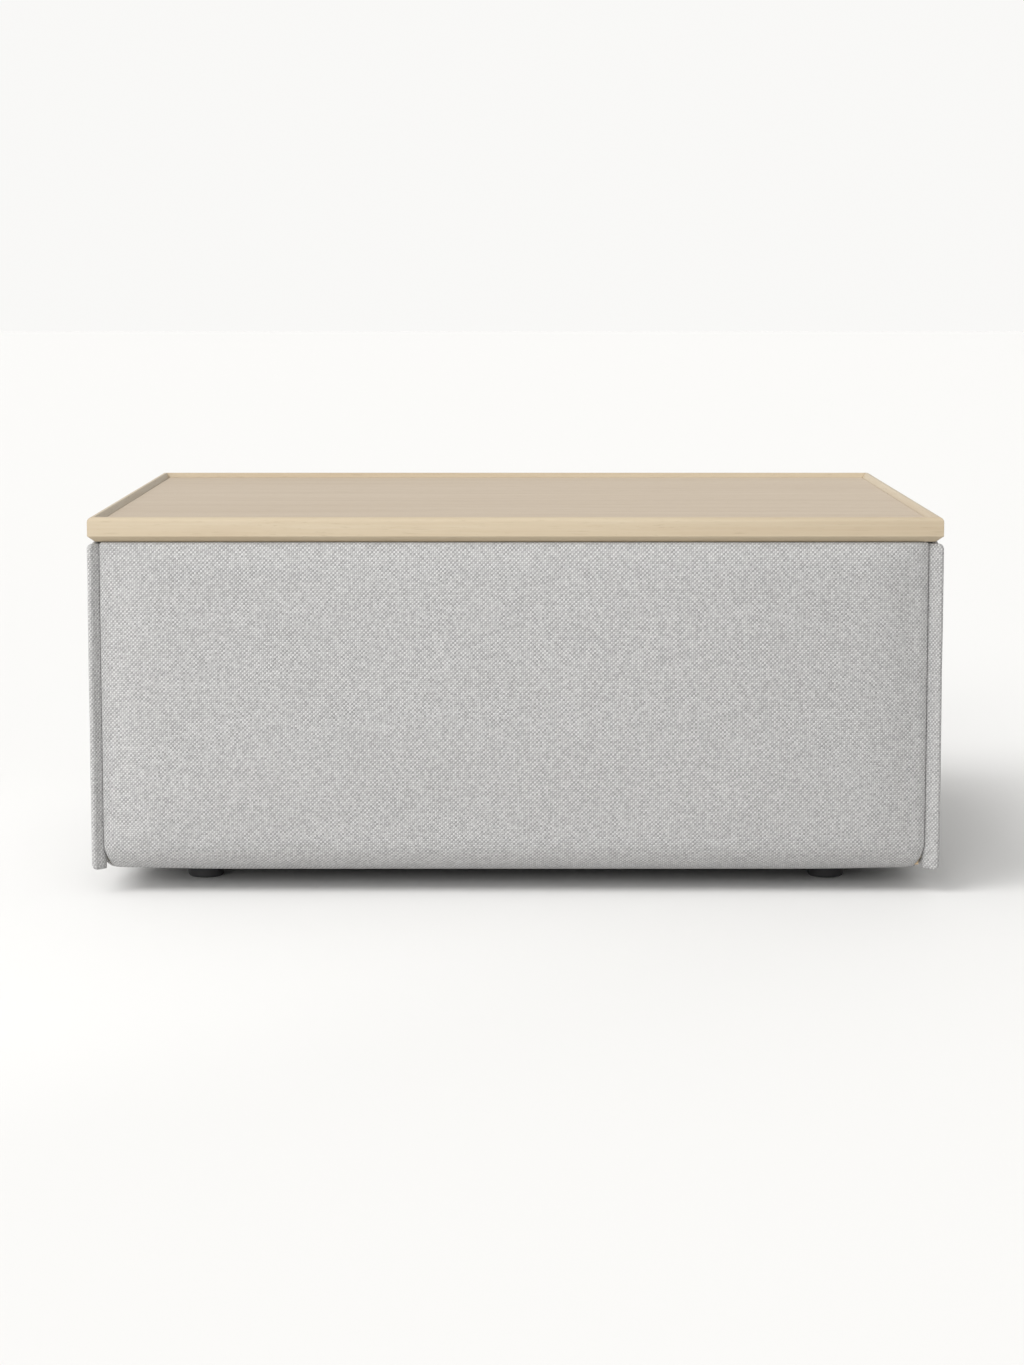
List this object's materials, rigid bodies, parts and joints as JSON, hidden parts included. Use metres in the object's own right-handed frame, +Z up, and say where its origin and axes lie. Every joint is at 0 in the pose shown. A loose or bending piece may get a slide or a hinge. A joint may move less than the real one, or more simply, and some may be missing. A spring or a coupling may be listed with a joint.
{
  "type": "ottoman with storage",
  "caption": "Low wide ottoman: pale wood tray lid hinged at the back over a storage box in light grey woven upholstery with flanged corners, on small round black feet.",
  "frame": {"origin": "on the floor, under the middle of the box", "axes": "+Z up, -Y the front, +X to the right seen from the front; the lid is hinged along the back"},
  "size_m": [0.96, 0.8, 0.428],
  "materials": {
    "ash_wood": "matt lacquered pale ash with a fine straight grain",
    "upholstery": "light grey plain-weave upholstery cloth, matt",
    "foam": "open-cell polyurethane foam, cream",
    "lining_cloth": "dark grey non-woven lining cloth",
    "dust_cloth": "black non-woven dust cover cloth",
    "plywood": "unfinished birch plywood",
    "raw_pine": "unfinished sawn pine",
    "black_plastic": "moulded black plastic, satin",
    "black_rubber": "soft black rubber",
    "zinc_steel": "bright zinc-plated steel",
    "black_steel": "black powder-coated steel tube, satin",
    "chromed_rod": "polished chromed steel rod"
  },
  "bodies": {
    "box": {"base_panel": "plywood", "centre_rail": "raw_pine", "cleat_back": "raw_pine", "cleat_front": "raw_pine", "cleat_left": "raw_pine", "cleat_right": "raw_pine", "corner_flange_back_left": "upholstery", "corner_flange_back_right": "upholstery", "corner_flange_front_left": "upholstery", "corner_flange_front_right": "upholstery", "cover_back": "upholstery", "cover_front": "upholstery", "cover_left": "upholstery", "cover_right": "upholstery", "dust_cover": "dust_cloth", "foam_back": "foam", "foam_front": "foam", "foam_left": "foam", "foam_right": "foam", "foot_back_left": "black_plastic", "foot_back_right": "black_plastic", "foot_block_back_left": "raw_pine", "foot_block_back_right": "raw_pine", "foot_block_front_left": "raw_pine", "foot_block_front_right": "raw_pine", "foot_bolt_back_left": "zinc_steel", "foot_bolt_back_right": "zinc_steel", "foot_bolt_front_left": "zinc_steel", "foot_bolt_front_right": "zinc_steel", "foot_front_left": "black_plastic", "foot_front_right": "black_plastic", "hinge_box_leaf_left": "zinc_steel", "hinge_box_leaf_right": "zinc_steel", "hinge_pin_left": "zinc_steel", "hinge_pin_right": "zinc_steel", "panel_back": "plywood", "panel_front": "plywood", "panel_left": "plywood", "panel_right": "plywood", "storage_lining": "lining_cloth", "strut_box_bracket_left": "zinc_steel", "strut_box_bracket_right": "zinc_steel"},
    "lid": {"hinge_lid_leaf_left": "zinc_steel", "hinge_lid_leaf_right": "zinc_steel", "lid_bumper_back_left": "black_rubber", "lid_bumper_back_right": "black_rubber", "lid_bumper_front_left": "black_rubber", "lid_bumper_front_right": "black_rubber", "lid_edge_back": "ash_wood", "lid_edge_front": "ash_wood", "lid_edge_left": "ash_wood", "lid_edge_right": "ash_wood", "lid_panel": "ash_wood", "strut_lid_bracket_left": "zinc_steel", "strut_lid_bracket_right": "zinc_steel"},
    "strut_tube_left": {"strut_tube_left": "black_steel"},
    "strut_rod_left": {"strut_rod_left": "chromed_rod"},
    "strut_tube_right": {"strut_tube_right": "black_steel"},
    "strut_rod_right": {"strut_rod_right": "chromed_rod"}
  },
  "joints": [
    {"name": "lid_hinge", "type": "hinge", "parent": "box", "child": "lid", "pos_m": [0, 0.3955, 0.4015], "axis": [-1, 0, 0], "range_deg": [0, 80]},
    {"name": "strut_tube_left_pivot", "type": "hinge", "parent": "box", "child": "strut_tube_left", "pos_m": [-0.425, 0.33518, 0.21082], "axis": [-1, 0, 0], "range_deg": [0, 40]},
    {"name": "strut_rod_left_pivot", "type": "hinge", "parent": "lid", "child": "strut_rod_left", "pos_m": [-0.425, 0.1961, 0.386], "axis": [-1, 0, 0], "range_deg": [-40, 0]},
    {"name": "strut_tube_right_pivot", "type": "hinge", "parent": "box", "child": "strut_tube_right", "pos_m": [0.425, 0.33518, 0.21082], "axis": [-1, 0, 0], "range_deg": [0, 40]},
    {"name": "strut_rod_right_pivot", "type": "hinge", "parent": "lid", "child": "strut_rod_right", "pos_m": [0.425, 0.1961, 0.386], "axis": [-1, 0, 0], "range_deg": [-40, 0]}
  ],
  "couplings": [
    {"joint": "strut_tube_left_pivot", "follows": "lid_hinge", "ratio": 0.5},
    {"joint": "strut_rod_left_pivot", "follows": "lid_hinge", "ratio": -0.5},
    {"joint": "strut_tube_right_pivot", "follows": "lid_hinge", "ratio": 0.5},
    {"joint": "strut_rod_right_pivot", "follows": "lid_hinge", "ratio": -0.5}
  ]
}
